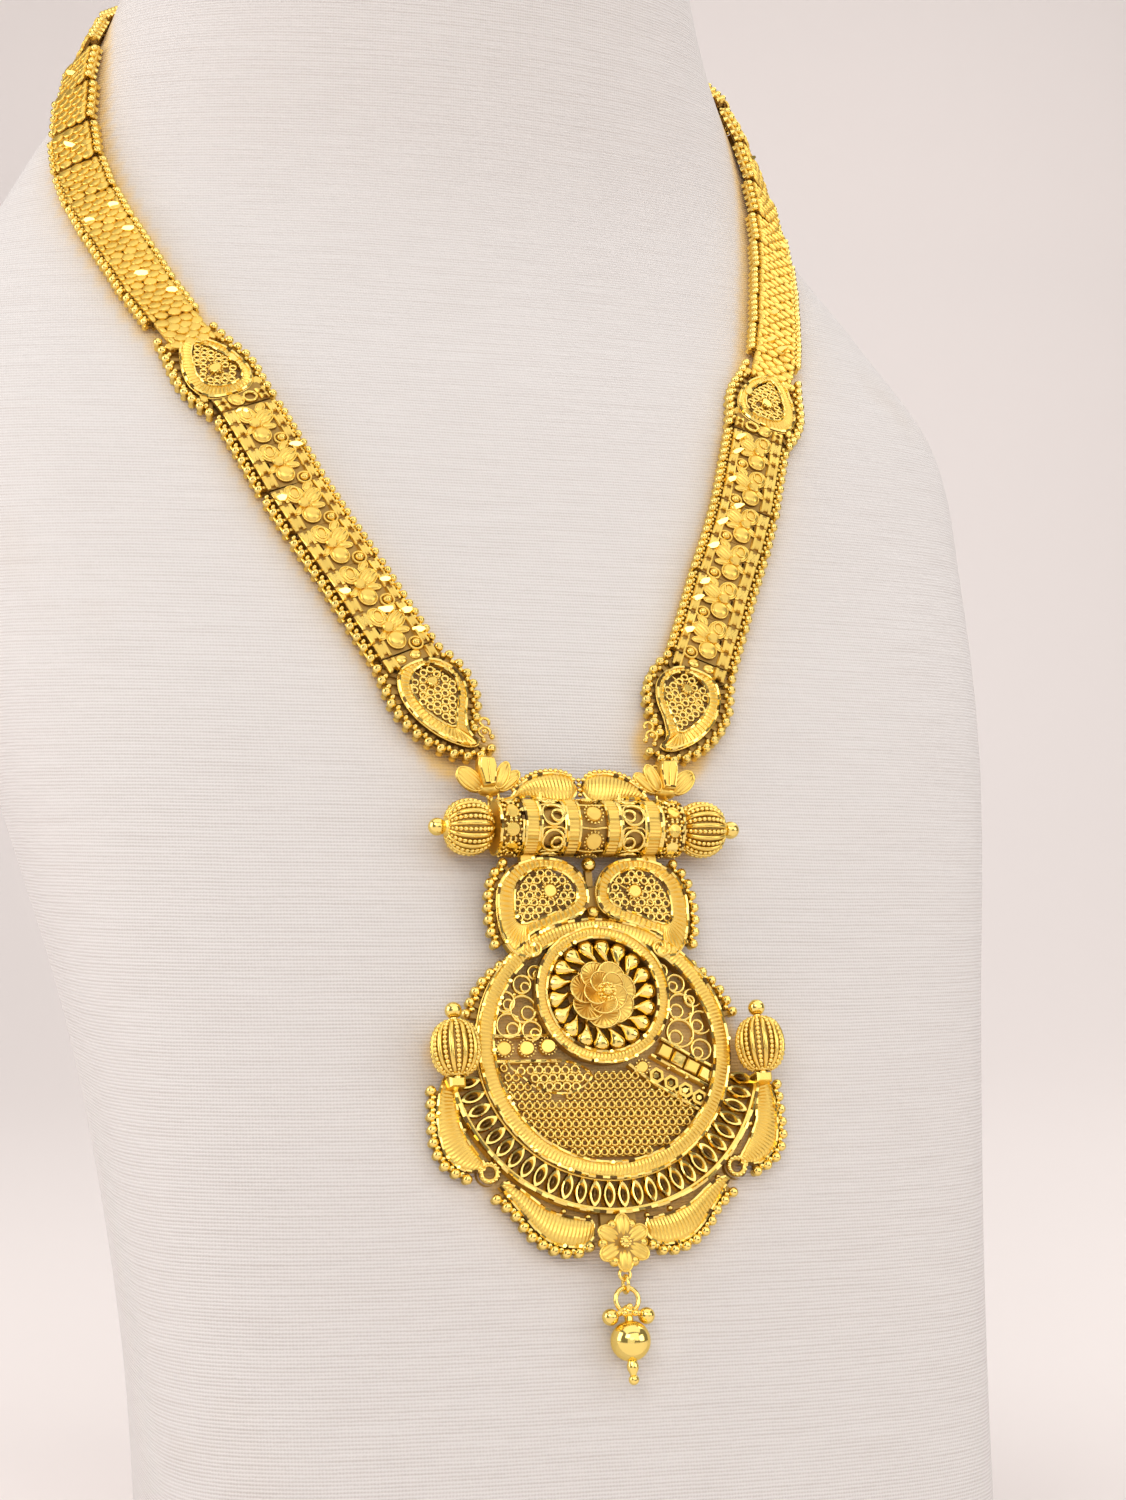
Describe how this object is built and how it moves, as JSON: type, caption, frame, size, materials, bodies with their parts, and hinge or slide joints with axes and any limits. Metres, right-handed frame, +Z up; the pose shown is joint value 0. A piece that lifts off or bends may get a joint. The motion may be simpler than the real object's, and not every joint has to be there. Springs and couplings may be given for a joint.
{
  "type": "long necklace on a neck bust",
  "caption": "Long gold filigree necklace: hinged links, teardrop plates and a large round pendant with a drop, worn on a plain linen-covered neck bust.",
  "frame": {"origin": "middle of the bust's flat base, on the surface it stands on", "axes": "+Z up through the neck, -Y the front that carries the pendant, +X the viewer's right"},
  "size_m": [0.206, 0.2056, 0.325],
  "materials": {
    "linen": "fine matt linen weave",
    "gold_band": "satin yellow gold with cut edges",
    "gold_paisley": "ridged and pierced yellow gold",
    "gold_pendant": "satin yellow gold, bright edges",
    "gold_chain": "plain polished yellow gold",
    "gold_polished": "mirror-polished yellow gold"
  },
  "bodies": {
    "root": {"neck_bust": "linen", "left_lower_paisley": "gold_paisley", "right_lower_paisley": "gold_paisley", "left_mid_paisley": "gold_paisley", "right_mid_paisley": "gold_paisley", "left_link_1": "gold_band", "left_link_2": "gold_band", "left_link_3": "gold_band", "left_link_4": "gold_band", "left_link_5": "gold_band", "left_link_6": "gold_band", "left_link_7": "gold_band", "left_link_8": "gold_band", "left_link_9": "gold_band", "left_link_10": "gold_band", "left_link_11": "gold_band", "left_link_12": "gold_band", "left_link_13": "gold_band", "left_link_14": "gold_band", "left_link_15": "gold_band", "left_link_16": "gold_band", "left_link_17": "gold_band", "right_link_1": "gold_band", "right_link_2": "gold_band", "right_link_3": "gold_band", "right_link_4": "gold_band", "right_link_5": "gold_band", "right_link_6": "gold_band", "right_link_7": "gold_band", "right_link_8": "gold_band", "right_link_9": "gold_band", "right_link_10": "gold_band", "right_link_11": "gold_band", "right_link_12": "gold_band", "right_link_13": "gold_band", "right_link_14": "gold_band", "right_link_15": "gold_band", "right_link_16": "gold_band", "right_link_17": "gold_band", "left_flower_connector": "gold_pendant", "left_barrel_bead": "gold_pendant", "left_side_bead": "gold_pendant", "right_flower_connector": "gold_pendant", "right_barrel_bead": "gold_pendant", "right_side_bead": "gold_pendant", "back_chain": "gold_chain", "clasp": "gold_chain", "crest": "gold_pendant", "barrel": "gold_pendant", "paisley_plate": "gold_paisley", "medallion": "gold_pendant", "rosette": "gold_pendant", "bottom_flower": "gold_pendant", "jump_ring": "gold_polished", "drop": "gold_polished"}
  },
  "joints": []
}
